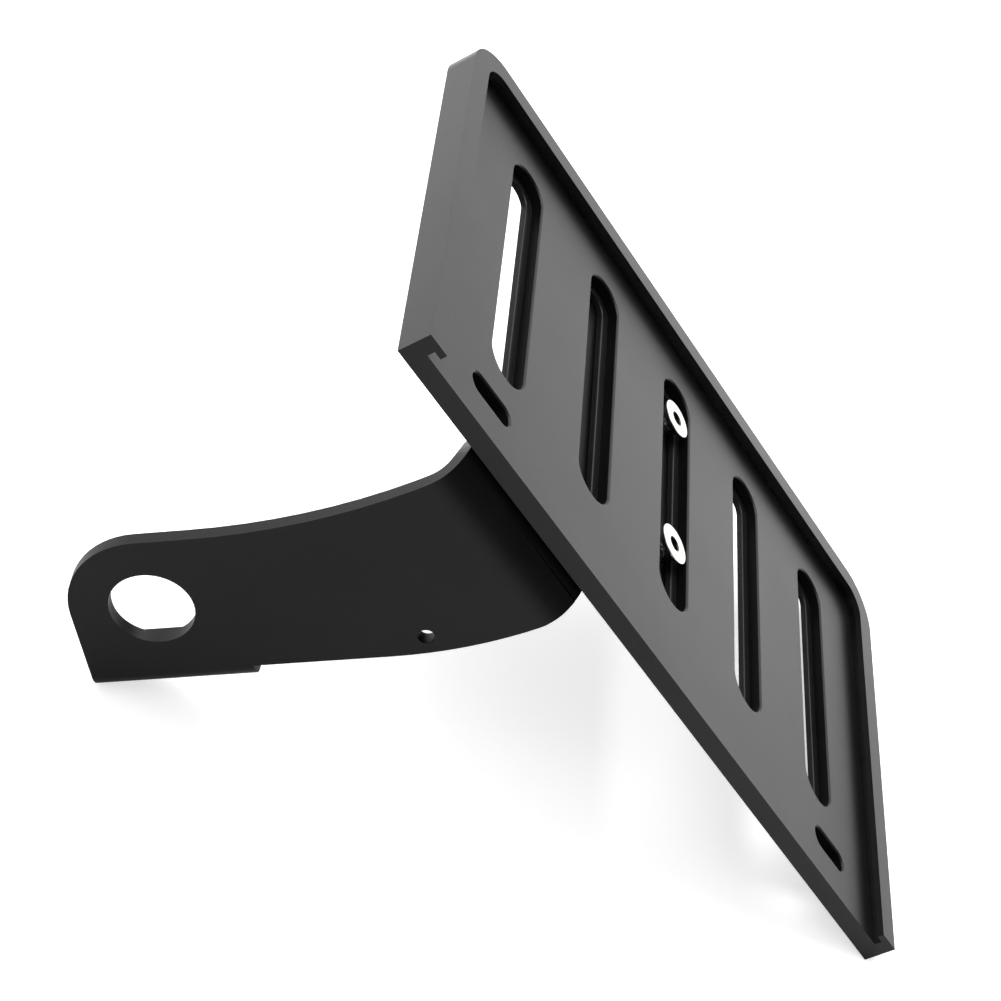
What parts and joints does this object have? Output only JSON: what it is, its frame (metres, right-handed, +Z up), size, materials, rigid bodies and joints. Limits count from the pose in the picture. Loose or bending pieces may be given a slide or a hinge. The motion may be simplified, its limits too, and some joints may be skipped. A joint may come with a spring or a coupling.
{
  "type": "side mount license plate holder",
  "caption": "Black tray with a lipped rim and stepped slots for a small licence plate, held by countersunk screws on a folded steel arm with an axle hole and a foot tab.",
  "frame": {"origin": "on the ground under the middle of the bounding box, with the holder lying on the foot of its arm and on the back edge of the tray's far end", "axes": "+X from the axle end towards the tray's far end along the ground, +Y from the tray's open edge to its closed edge, +Z up"},
  "size_m": [0.197, 0.123, 0.1075],
  "materials": {
    "black_anodised": "satin black anodised aluminium, milled",
    "black_powder_coat": "fine black powder coat on folded steel",
    "stainless": "bright stainless steel",
    "zinc": "zinc plated steel"
  },
  "bodies": {
    "root": {"plate_frame": "black_anodised", "mounting_arm": "black_powder_coat", "lower_screw": "stainless", "upper_screw": "stainless", "lower_washer": "zinc", "upper_washer": "zinc", "lower_nut": "zinc", "upper_nut": "zinc"}
  },
  "joints": []
}
